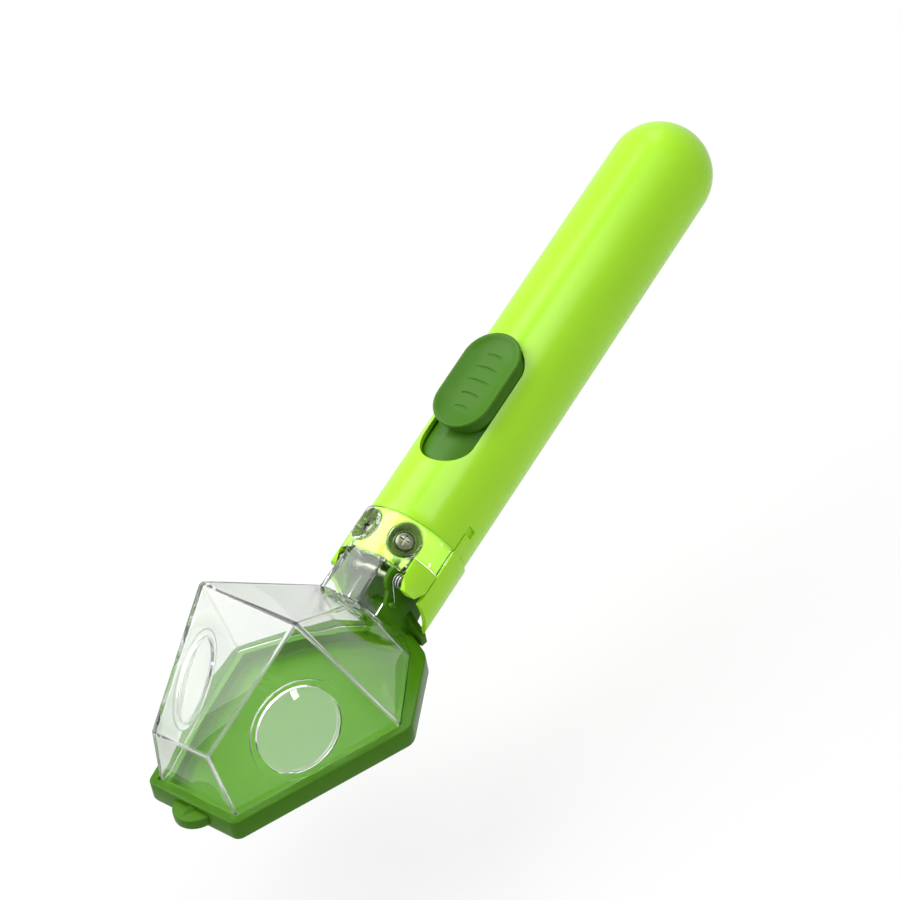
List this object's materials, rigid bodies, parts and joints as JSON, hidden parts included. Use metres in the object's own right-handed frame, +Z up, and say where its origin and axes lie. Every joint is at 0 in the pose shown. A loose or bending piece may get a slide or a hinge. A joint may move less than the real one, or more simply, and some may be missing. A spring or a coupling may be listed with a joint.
{
  "type": "spider catcher",
  "caption": "Hand-held spider catcher: a round handle with a thumb slider, a clear faceted chamber with side lenses, and a sprung tray that shuts its open underside.",
  "frame": {"origin": "middle of the tray's flat underside, in the mirror plane", "axes": "+Y from the chamber's nose towards the handle's tail, +Z up out of the tray, X across the mirror plane with +X on the side of the return spring"},
  "size_m": [0.0678, 0.2508, 0.0885],
  "materials": {
    "lime_plastic": "glossy lime green moulding",
    "dark_green_plastic": "satin dark green moulding",
    "green_plastic": "satin mid green moulding",
    "clear_plastic": "polished clear moulding",
    "steel": "bright plated steel"
  },
  "bodies": {
    "handle_body": {"handle_tube": "lime_plastic", "front_collar": "lime_plastic", "lower_cover": "lime_plastic", "chamber_shell": "clear_plastic", "lens_right": "clear_plastic", "lens_left": "clear_plastic", "hinge_pin": "steel", "return_spring": "steel", "saddle_screw_right": "steel", "saddle_screw_left": "steel"},
    "tray_body": {"tray": "green_plastic", "drive_pin": "steel"},
    "slider_body": {"slider_carriage": "dark_green_plastic", "slider_button": "dark_green_plastic", "button_screw_front": "steel", "button_screw_rear": "steel"}
  },
  "joints": [
    {"name": "tray_hinge", "type": "hinge", "parent": "handle_body", "child": "tray_body", "pos_m": [0, 0.04279, 0.02722], "axis": [1, 0, 0], "range_deg": [0, 35], "stiffness_Nm_per_rad": 0.02, "springref_deg": -68.75, "deforming": ["return_spring"]},
    {"name": "slider_slide", "type": "slide", "parent": "handle_body", "child": "slider_body", "axis": [0, -0.9365, -0.3507], "range_m": [0, 0.0105]}
  ],
  "couplings": [
    {"joint": "slider_slide", "follows": "tray_hinge", "m_per_rad": 0.017188}
  ]
}
